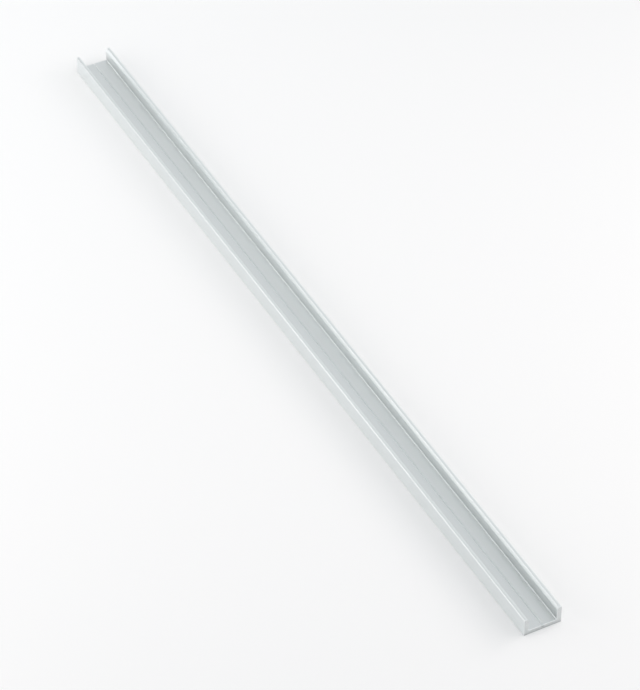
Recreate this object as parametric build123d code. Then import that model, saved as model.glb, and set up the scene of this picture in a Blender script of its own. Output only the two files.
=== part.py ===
from build123d import *

import os
from math import radians, tan

# Aluminium U-channel: one straight extruded length of a channel section.
#
# The channel lies on its web with the open side up. +X runs along the length, +Y across the web
# and +Z up. The origin is on the underside, at the middle of the length and width.
# All sizes are in millimetres. The stock is an inch size: 1 x 1/2 x 1/8 in, 24 in long.

# Length of stock, sawn square at both ends
LENGTH = 609.6

# Section: outside width of the web, outside height of the flanges, and the two walls
WIDTH = 25.4
HEIGHT = 12.7
FLANGE_WALL = 3.175
WEB_WALL = 3.175

# Lead-in bevel on the inner side of each flange's tip: its depth, and its lean from the upright
BEVEL_DEPTH = 1.9
BEVEL_LEAN = 30.0

# Rounding that the extrusion die leaves on the section's corners
ROOT_RADIUS = 0.65
HEEL_RADIUS = 0.4
TIP_RADIUS = 0.8
BEVEL_RADIUS = 0.3

# V-groove down the middle of the web's upper face, which marks the centre line
GROOVE_WIDTH = 1.2
GROOVE_DEPTH = 0.6

# Edge broken with a file at each sawn end
END_BREAK = 0.2

# Half widths of the outside, of the space between the flanges and of that space's flared mouth
OUTER_HALF = WIDTH / 2
INNER_HALF = OUTER_HALF - FLANGE_WALL
BEVEL_WIDTH = BEVEL_DEPTH * tan(radians(BEVEL_LEAN))
MOUTH_HALF = INNER_HALF + BEVEL_WIDTH

# Height at which the flanges' inner faces turn into the bevel
BEVEL_FOOT = HEIGHT - BEVEL_DEPTH


def channel_space():
    """The space between the flanges, from the web's upper face up through the flared mouth."""
    right_side = [(INNER_HALF, WEB_WALL), (INNER_HALF, BEVEL_FOOT), (MOUTH_HALF, HEIGHT)]
    left_side = [(-across, up) for across, up in reversed(right_side)]
    return make_face(Polyline(*right_side, *left_side, close=True))


def centre_groove():
    """The V cut out of the web's upper face, with its mouth level with that face."""
    half = GROOVE_WIDTH / 2
    return make_face(Polyline((-half, WEB_WALL), (0, WEB_WALL - GROOVE_DEPTH), (half, WEB_WALL), close=True))


def round_corners(section, half, level, radius):
    """Round the section's left and right corners at a half width and a height."""
    corners = [section.vertices().sort_by_distance((side * half, level, 0))[0] for side in (-1, 1)]
    return fillet(corners, radius)


def channel_section():
    """The U section, drawn with x across the web and y up."""
    outside = Rectangle(WIDTH, HEIGHT, align=(Align.CENTER, Align.MIN))
    section = outside - channel_space()
    section = round_corners(section, INNER_HALF, WEB_WALL, ROOT_RADIUS)
    section = round_corners(section, INNER_HALF, BEVEL_FOOT, BEVEL_RADIUS)
    section = round_corners(section, MOUTH_HALF, HEIGHT, BEVEL_RADIUS)
    section = round_corners(section, OUTER_HALF, HEIGHT, TIP_RADIUS)
    section = round_corners(section, OUTER_HALF, 0, HEEL_RADIUS)
    return section - centre_groove()


def channel():
    """The section run along the length, with the edges of both ends broken."""
    bar = extrude(Plane.YZ * channel_section(), LENGTH / 2, both=True)
    ends = bar.faces().filter_by(Axis.X).sort_by(Axis.X)
    end_edges = ends[0].edges() + ends[-1].edges()
    return chamfer(end_edges, END_BREAK)


os.makedirs("parts", exist_ok=True)
export_step(channel(), "parts/channel.step")
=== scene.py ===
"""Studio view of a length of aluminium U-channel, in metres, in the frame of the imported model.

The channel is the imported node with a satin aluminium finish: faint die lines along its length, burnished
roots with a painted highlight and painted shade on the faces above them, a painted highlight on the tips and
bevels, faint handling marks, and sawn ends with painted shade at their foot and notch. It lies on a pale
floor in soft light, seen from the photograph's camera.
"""

import math
from collections import namedtuple

import bpy
from mathutils import Matrix, Vector


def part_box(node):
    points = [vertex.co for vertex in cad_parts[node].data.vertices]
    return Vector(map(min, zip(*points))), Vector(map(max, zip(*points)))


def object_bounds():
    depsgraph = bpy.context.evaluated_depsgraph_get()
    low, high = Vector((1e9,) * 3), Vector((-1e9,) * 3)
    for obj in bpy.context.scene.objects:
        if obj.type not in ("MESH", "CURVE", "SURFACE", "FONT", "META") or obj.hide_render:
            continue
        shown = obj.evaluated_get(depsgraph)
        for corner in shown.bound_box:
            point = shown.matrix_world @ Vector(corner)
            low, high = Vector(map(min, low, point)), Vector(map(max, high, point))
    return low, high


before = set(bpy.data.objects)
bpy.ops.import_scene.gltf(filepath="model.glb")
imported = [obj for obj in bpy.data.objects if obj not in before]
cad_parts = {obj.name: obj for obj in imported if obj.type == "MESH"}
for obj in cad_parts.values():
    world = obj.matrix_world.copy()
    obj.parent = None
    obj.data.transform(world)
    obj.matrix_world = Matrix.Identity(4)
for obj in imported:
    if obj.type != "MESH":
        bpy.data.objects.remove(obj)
cad_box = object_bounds()
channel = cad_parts["channel"]

MM = 0.001

# The channel's near end and flange tips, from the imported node, and its right side, from the CAD box
END_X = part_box("channel")[1].x
TIP_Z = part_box("channel")[1].z
SIDE_Y = cad_box[1].y

# Section that the finish follows: its walls, the roundings of its roots and tips, the bevel's depth and
# half the groove's width
WALL = 3.175 * MM
ROOT_RADIUS = 0.65 * MM
TIP_RADIUS = 0.8 * MM
BEVEL_DEPTH = 1.9 * MM
GROOVE_HALF = 0.6 * MM

# Height of the web's upper face, and half the width between the flanges
WEB_Z = WALL
INNER_Y = SIDE_Y - WALL

# Heights and half widths between which a painted highlight or painted shade fades in or out
TIP_FADE_Z = (TIP_Z - TIP_RADIUS / 2, TIP_Z)
BEVEL_FADE_Z = (TIP_Z - 1.3 * BEVEL_DEPTH, TIP_Z - BEVEL_DEPTH)
BEVEL_FADE_Y = (INNER_Y + 0.7 * BEVEL_DEPTH, INNER_Y + 0.9 * BEVEL_DEPTH)
INNER_FADE_Z = (WEB_Z + 0.6 * ROOT_RADIUS, WEB_Z + 8.0 * MM)
NOTCH_FADE_Z = (0.4 * WEB_Z, 0.6 * WEB_Z)
NOTCH_FADE_Y = (GROOVE_HALF, 1.1 * GROOVE_HALF)

# Heights and half widths that the roots' polish and painted highlight and the inner faces' painted shade
# cover, and the blur past their limits
ROOT_SPAN_Z = (WEB_Z, WEB_Z + 0.6 * ROOT_RADIUS)
ROOT_SPAN_Y = (INNER_Y - 0.8 * ROOT_RADIUS, INNER_Y)
ROOT_BLUR = 0.1 * MM
INNER_SPAN_Y = (INNER_Y - 0.02 * ROOT_RADIUS, INNER_Y)
INNER_BLUR = 0.02 * MM

# Height of the photograph's frame in pixels, and the camera that was fitted to the channel's corners and
# long edges in it: focal length in pixels, viewing angle in degrees, distance and slide in metres. The
# sensor's height is nominal, because the lens is worked out from it.
IMAGE_HEIGHT = 690
FOCAL_LENGTH_PX = 3708
CAMERA_ELEVATION = 41.75
CAMERA_AZIMUTH = -28.05
CAMERA_DISTANCE = 2.3677
CAMERA_RIGHT = 0.0133
CAMERA_UP = -0.0133
SENSOR_HEIGHT_MM = 24.0

# Floor: side of the sheet, its colour, and the gap that keeps it off the channel's underside
FLOOR_SIZE = 8.0
FLOOR_COLOR = (0.949, 0.944, 0.942)
FLOOR_GAP = 0.05 * MM

# Aluminium's colour where it is dullest, at tone 0, and where it is brightest, at tone 1
DULL_COLOR = (0.435, 0.450, 0.450)
BRIGHT_COLOR = (0.943, 0.975, 0.975)

# Usual tone, and its change where light and shade are painted in: a painted highlight on the tips, bevels
# and roots, and painted shade on the flanges' inner faces, darkest at their foot
TONE = 0.82
TIP_PAINTED_HIGHLIGHT = 0.14
BEVEL_PAINTED_HIGHLIGHT = 0.05
ROOT_PAINTED_HIGHLIGHT = 0.18
INNER_PAINTED_SHADE = -0.40

# Change of tone on a sawn end: its own duller tone above the web; along the foot that tone with painted
# shade added, darkest at the floor; and in addition painted shade at the groove's notch
SAWN_TONE = -0.35
SAWN_FOOT_TONE_WITH_PAINTED_SHADE = -0.63
NOTCH_PAINTED_SHADE = -0.35

# Usual roughness, and its change on the roots and on the sawn ends
ROUGHNESS = 0.38
ROOT_ROUGHNESS = -0.22
SAWN_ROUGHNESS = 0.08

# How squarely a face looks along the length where it begins to be a sawn one, and where it fully is
SAWN_FACING = (0.6, 0.9)

# Die lines: spacing across the section, run along the length, and what they do to the finish
FINE_LINE = 0.4 * MM
BROAD_LINE = 2.2 * MM
LINE_RUN = 600 * MM
LINE_TONE = 0.09
LINE_ROUGHNESS = 0.12
LINE_RELIEF = 0.006 * MM

# Faint blotches from handling: size along and across, and what they do to the finish
BLOTCH_RUN = 60 * MM
BLOTCH_WIDTH = 14 * MM
BLOTCH_TONE = 0.05
BLOTCH_ROUGHNESS = 0.10

# Saw marks: the blade's centre beside and below the stock, the pitch of its arcs, the size of their
# wander and the radians that it turns their wave by, and what they do to the finish
BLADE_ACROSS = 70 * MM
BLADE_DROP = 95 * MM
SAW_PITCH = 0.55 * MM
WANDER_SIZE = 4 * MM
WANDER_TURN = 5.0
SAW_TONE = 0.10
SAW_RELIEF = 0.02 * MM

# Speckle of torn metal on the sawn ends: its size, and what it does to the finish
SPECKLE_SIZE = 1.2 * MM
SPECKLE_TONE = 0.35

# Studio sky: its colour and even level, and the soft places that are brighter or darker than that.
# Azimuths run from +X towards +Y, in degrees.
SkyPlace = namedtuple("SkyPlace", "azimuth elevation sharpness change")
SKY_COLOR = (0.978, 1.0, 1.017)
SKY_LEVEL = 0.955
SKY_PLACES = {
    "bright_right": SkyPlace(azimuth=90, elevation=28, sharpness=8, change=0.21),
    "bright_far_left": SkyPlace(azimuth=-130, elevation=4, sharpness=12, change=0.30),
    "dark_far_left": SkyPlace(azimuth=-152, elevation=42, sharpness=8, change=-0.76),
    "dark_far_right": SkyPlace(azimuth=152, elevation=42, sharpness=2, change=-0.21),
}

# Softboxes, warmer when they stand low. Each faces the point of the channel's axis at aim_x, from a
# direction and a distance. The strip lies along the channel, and shines as a thin line in its roots.
Softbox = namedtuple("Softbox", "aim_x azimuth elevation distance size power")
LOW_COLOR = (1.09, 1.0, 0.95)
HIGH_COLOR = (0.97, 1.0, 1.0)
HIGH_ELEVATION = 45
SOFTBOXES = {
    "key": Softbox(aim_x=END_X, azimuth=70, elevation=40, distance=0.6, size=(0.4, 0.4), power=0.37),
    "side": Softbox(aim_x=END_X, azimuth=100, elevation=25, distance=0.9, size=(0.3, 0.3), power=1.00),
    "back": Softbox(aim_x=-END_X, azimuth=180, elevation=65, distance=0.8, size=(0.5, 0.5), power=0.25),
    "left_low": Softbox(aim_x=-END_X, azimuth=-90, elevation=15, distance=0.6, size=(0.3, 0.3), power=0.19),
    "left_front": Softbox(aim_x=-END_X, azimuth=-60, elevation=25, distance=0.8, size=(0.4, 0.4), power=0.49),
    "left_back": Softbox(aim_x=-END_X, azimuth=-120, elevation=25, distance=0.8, size=(0.4, 0.4), power=0.23),
    "far_left": Softbox(aim_x=-END_X, azimuth=-150, elevation=30, distance=0.8, size=(0.4, 0.4), power=0.07),
    "strip": Softbox(aim_x=-0.68, azimuth=-90, elevation=65, distance=0.78, size=(1.0, 0.2), power=0.88),
}


def plug(tree, socket, value):
    """Link a socket to another node's output, or set it to a plain value."""
    if isinstance(value, bpy.types.NodeSocket):
        tree.links.new(value, socket)
    else:
        socket.default_value = value


def calc(tree, operation, *values):
    """A Math node's result."""
    node = tree.nodes.new("ShaderNodeMath")
    node.operation = operation
    for socket, value in zip(node.inputs, values):
        plug(tree, socket, value)
    return node.outputs["Value"]


def ramp(tree, value, low, high, to_low=0.0, to_high=1.0):
    """A smooth step that takes low..high to to_low..to_high."""
    node = tree.nodes.new("ShaderNodeMapRange")
    node.interpolation_type = "SMOOTHSTEP"
    plug(tree, node.inputs["Value"], value)
    plug(tree, node.inputs["From Min"], low)
    plug(tree, node.inputs["From Max"], high)
    plug(tree, node.inputs["To Min"], to_low)
    plug(tree, node.inputs["To Max"], to_high)
    return node.outputs["Result"]


def fall(tree, value, low, high):
    """A smooth step down from 1 to 0 over low..high."""
    return ramp(tree, value, low, high, 1.0, 0.0)


def band(tree, value, low, high, blur):
    """1 between low and high, falling to 0 over the blur outside them."""
    return calc(tree, "MULTIPLY", ramp(tree, value, low - blur, low), fall(tree, value, high, high + blur))


def shift(tree, value, change, amount):
    """A value moved by how far a change from 0 to 1 is from its middle, times an amount."""
    return calc(tree, "MULTIPLY_ADD", calc(tree, "SUBTRACT", change, 0.5), amount, value)


def grain(tree, place, size, detail):
    """Noise whose blobs have the given size along x, y and z, from about 0 to 1."""
    mapping = tree.nodes.new("ShaderNodeMapping")
    plug(tree, mapping.inputs["Vector"], place)
    plug(tree, mapping.inputs["Scale"], [1 / length for length in size])
    noise = tree.nodes.new("ShaderNodeTexNoise")
    plug(tree, noise.inputs["Vector"], mapping.outputs["Vector"])
    plug(tree, noise.inputs["Scale"], 1.0)
    plug(tree, noise.inputs["Detail"], detail)
    return noise.outputs["Fac"]


def split(tree, vector):
    """The x, y and z of a vector."""
    node = tree.nodes.new("ShaderNodeSeparateXYZ")
    plug(tree, node.inputs["Vector"], vector)
    return node.outputs["X"], node.outputs["Y"], node.outputs["Z"]


def new_material(name):
    """A node material with only its Principled shader and output."""
    material = bpy.data.materials.new(name)
    material.use_nodes = True
    tree = material.node_tree
    return material, tree, tree.nodes["Principled BSDF"]


def floor_material():
    """Matt pale paper."""
    material, tree, shader = new_material("floor_paper")
    plug(tree, shader.inputs["Base Color"], (*FLOOR_COLOR, 1))
    plug(tree, shader.inputs["Roughness"], 1.0)
    plug(tree, shader.inputs["Specular IOR Level"], 0.0)
    return material


def die_lines(tree, place):
    """Lines that the die leaves along the length, fine and broad ones together, from about 0 to 1."""
    fine = grain(tree, place, (LINE_RUN, FINE_LINE, FINE_LINE), detail=2.0)
    broad = grain(tree, place, (LINE_RUN, BROAD_LINE, BROAD_LINE), detail=1.0)
    return calc(tree, "MULTIPLY", calc(tree, "ADD", fine, broad), 0.5)


def saw_marks(tree, place):
    """Height of the arcs that a circular blade leaves across a sawn end, from 0 to 1."""
    across, up = split(tree, place)[1:]
    side = calc(tree, "ADD", across, BLADE_ACROSS)
    rise = calc(tree, "ADD", up, BLADE_DROP)
    reach = calc(tree, "SQRT", calc(tree, "MULTIPLY_ADD", side, side, calc(tree, "MULTIPLY", rise, rise)))
    wander = grain(tree, place, (WANDER_SIZE, WANDER_SIZE, WANDER_SIZE), detail=2.0)
    wave = calc(tree, "MULTIPLY", reach, math.tau / SAW_PITCH)
    phase = calc(tree, "MULTIPLY_ADD", wander, WANDER_TURN, wave)
    return calc(tree, "MULTIPLY_ADD", calc(tree, "SINE", phase), 0.5, 0.5)


def root_mask(tree, side, up):
    """1 on the roundings between the web and the flanges, and 0 elsewhere."""
    across_mask = band(tree, side, *ROOT_SPAN_Y, ROOT_BLUR)
    up_mask = band(tree, up, *ROOT_SPAN_Z, ROOT_BLUR)
    return calc(tree, "MULTIPLY", across_mask, up_mask)


def section_painted_light(tree, side, up, root):
    """Change of tone round the drawn section: painted highlights on the tips, bevels and roots, and painted
    shade on the inner faces.
    """
    tip = ramp(tree, up, *TIP_FADE_Z)
    bevel = calc(tree, "MULTIPLY", ramp(tree, up, *BEVEL_FADE_Z), fall(tree, side, *BEVEL_FADE_Y))
    inner_across = band(tree, side, *INNER_SPAN_Y, INNER_BLUR)
    inner = calc(tree, "MULTIPLY", inner_across, fall(tree, up, *INNER_FADE_Z))
    change = 0.0
    for mask, amount in ((tip, TIP_PAINTED_HIGHLIGHT), (bevel, BEVEL_PAINTED_HIGHLIGHT), (root, ROOT_PAINTED_HIGHLIGHT), (inner, INNER_PAINTED_SHADE)):
        change = calc(tree, "MULTIPLY_ADD", mask, amount, change)
    return change


def sawn_change(tree, place, side, up, saw):
    """Change of tone on a sawn end: duller, with painted shade at its foot and notch, and with saw marks and
    speckle.
    """
    notch = calc(tree, "MULTIPLY", fall(tree, side, *NOTCH_FADE_Y), ramp(tree, up, *NOTCH_FADE_Z))
    speckle = grain(tree, place, (SPECKLE_SIZE, SPECKLE_SIZE, SPECKLE_SIZE), detail=3.0)
    change = ramp(tree, up, 0.0, WEB_Z, SAWN_FOOT_TONE_WITH_PAINTED_SHADE, SAWN_TONE)
    # Painted shade at the groove's notch
    change = calc(tree, "MULTIPLY_ADD", notch, NOTCH_PAINTED_SHADE, change)
    change = shift(tree, change, saw, SAW_TONE)
    return shift(tree, change, speckle, SPECKLE_TONE)


def metal_color(tree, tone):
    """The colour between dull and bright at a tone from 0 to 1."""
    mix = tree.nodes.new("ShaderNodeMix")
    mix.data_type = "RGBA"
    inputs = {socket.identifier: socket for socket in mix.inputs}
    outputs = {socket.identifier: socket for socket in mix.outputs}
    plug(tree, inputs["Factor_Float"], tone)
    plug(tree, inputs["A_Color"], (*DULL_COLOR, 1))
    plug(tree, inputs["B_Color"], (*BRIGHT_COLOR, 1))
    return outputs["Result_Color"]


def raised_normal(tree, height):
    """The normal of a surface raised by a height in metres."""
    bump = tree.nodes.new("ShaderNodeBump")
    plug(tree, bump.inputs["Strength"], 1.0)
    plug(tree, bump.inputs["Distance"], 1.0)
    plug(tree, bump.inputs["Height"], height)
    return bump.outputs["Normal"]


def aluminium_material():
    """Satin aluminium as extruded, with burnished roots, painted highlights and shade round the section, and
    sawn ends with painted shade at their foot and notch.
    """
    material, tree, shader = new_material("satin_aluminium")
    coordinates = tree.nodes.new("ShaderNodeTexCoord")
    place = coordinates.outputs["Object"]
    facing_end = calc(tree, "ABSOLUTE", split(tree, coordinates.outputs["Normal"])[0])
    across, up = split(tree, place)[1:]
    side = calc(tree, "ABSOLUTE", across)

    sawn = ramp(tree, facing_end, *SAWN_FACING)
    drawn = calc(tree, "SUBTRACT", 1.0, sawn)
    root = root_mask(tree, side, up)
    lines = die_lines(tree, place)
    blotch = grain(tree, place, (BLOTCH_RUN, BLOTCH_WIDTH, BLOTCH_WIDTH), detail=3.0)
    saw = saw_marks(tree, place)

    tone = shift(tree, TONE, lines, LINE_TONE)
    tone = shift(tree, tone, blotch, BLOTCH_TONE)
    # Painted highlights and shade round the drawn section, then the sawn ends' own tone with painted shade at
    # foot and notch
    tone = calc(tree, "MULTIPLY_ADD", drawn, section_painted_light(tree, side, up, root), tone)
    tone = calc(tree, "MULTIPLY_ADD", sawn, sawn_change(tree, place, side, up, saw), tone)
    plug(tree, shader.inputs["Base Color"], metal_color(tree, tone))
    plug(tree, shader.inputs["Metallic"], 1.0)

    rough = shift(tree, ROUGHNESS, lines, LINE_ROUGHNESS)
    rough = shift(tree, rough, blotch, BLOTCH_ROUGHNESS)
    rough = calc(tree, "MULTIPLY_ADD", calc(tree, "MULTIPLY", root, drawn), ROOT_ROUGHNESS, rough)
    rough = calc(tree, "MULTIPLY_ADD", sawn, SAWN_ROUGHNESS, rough)
    plug(tree, shader.inputs["Roughness"], rough)

    line_height = calc(tree, "MULTIPLY", calc(tree, "MULTIPLY", lines, drawn), LINE_RELIEF)
    height = calc(tree, "MULTIPLY_ADD", calc(tree, "MULTIPLY", saw, sawn), SAW_RELIEF, line_height)
    plug(tree, shader.inputs["Normal"], raised_normal(tree, height))
    return material


def add_floor():
    """A large level sheet just under the channel."""
    bpy.ops.mesh.primitive_plane_add(size=FLOOR_SIZE, location=(0, 0, -FLOOR_GAP))
    floor = bpy.context.object
    floor.name = "floor"
    floor.data.materials.append(floor_material())


def direction(azimuth, elevation):
    """The unit vector towards an azimuth and an elevation, in degrees."""
    turn = math.radians(azimuth)
    tilt = math.radians(elevation)
    return Vector((math.cos(tilt) * math.cos(turn), math.cos(tilt) * math.sin(turn), math.sin(tilt)))


def add_camera():
    """The photograph's camera: level, turned about the vertical, raised, then slid to frame the channel."""
    back = direction(CAMERA_AZIMUTH, CAMERA_ELEVATION)
    right = Vector((0, 0, 1)).cross(back).normalized()
    up = back.cross(right)
    data = bpy.data.cameras.new("camera")
    data.sensor_fit = "VERTICAL"
    data.sensor_height = SENSOR_HEIGHT_MM
    data.lens = FOCAL_LENGTH_PX / IMAGE_HEIGHT * SENSOR_HEIGHT_MM
    camera = bpy.data.objects.new("camera", data)
    turn = Matrix((right, up, back)).transposed()
    place = CAMERA_RIGHT * right + CAMERA_UP * up + CAMERA_DISTANCE * back
    camera.matrix_world = Matrix.Translation(place) @ turn.to_4x4()
    bpy.context.scene.collection.objects.link(camera)
    bpy.context.scene.camera = camera


def add_sky():
    """Even light from all round, with soft brighter and darker places in it."""
    world = bpy.data.worlds.new("studio")
    world.use_nodes = True
    tree = world.node_tree
    towards = tree.nodes.new("ShaderNodeTexCoord").outputs["Generated"]
    level = SKY_LEVEL
    for sky_place in SKY_PLACES.values():
        dot = tree.nodes.new("ShaderNodeVectorMath")
        dot.operation = "DOT_PRODUCT"
        plug(tree, dot.inputs[0], towards)
        plug(tree, dot.inputs[1], direction(sky_place.azimuth, sky_place.elevation))
        nearness = calc(tree, "MAXIMUM", dot.outputs["Value"], 0.0)
        spread = calc(tree, "POWER", nearness, sky_place.sharpness)
        level = calc(tree, "MULTIPLY_ADD", spread, sky_place.change, level)
    background = tree.nodes["Background"]
    plug(tree, background.inputs["Color"], (*SKY_COLOR, 1))
    plug(tree, background.inputs["Strength"], level)
    bpy.context.scene.world = world


def add_softbox(name, softbox):
    """An area lamp that faces a point on the channel's axis."""
    data = bpy.data.lights.new(name, "AREA")
    data.shape = "RECTANGLE"
    data.size, data.size_y = softbox.size
    data.energy = softbox.power
    data.color = HIGH_COLOR if softbox.elevation > HIGH_ELEVATION else LOW_COLOR
    towards = direction(softbox.azimuth, softbox.elevation)
    lamp = bpy.data.objects.new(name, data)
    lamp.location = Vector((softbox.aim_x, 0, 0)) + softbox.distance * towards
    lamp.rotation_euler = towards.to_track_quat("Z", "Y").to_euler()
    lamp.visible_camera = False
    bpy.context.scene.collection.objects.link(lamp)


for material_slot in channel.material_slots:
    material_slot.material = aluminium_material()
add_floor()
add_camera()
add_sky()
for name, softbox in SOFTBOXES.items():
    add_softbox(name, softbox)
bpy.context.scene.view_settings.view_transform = "Standard"
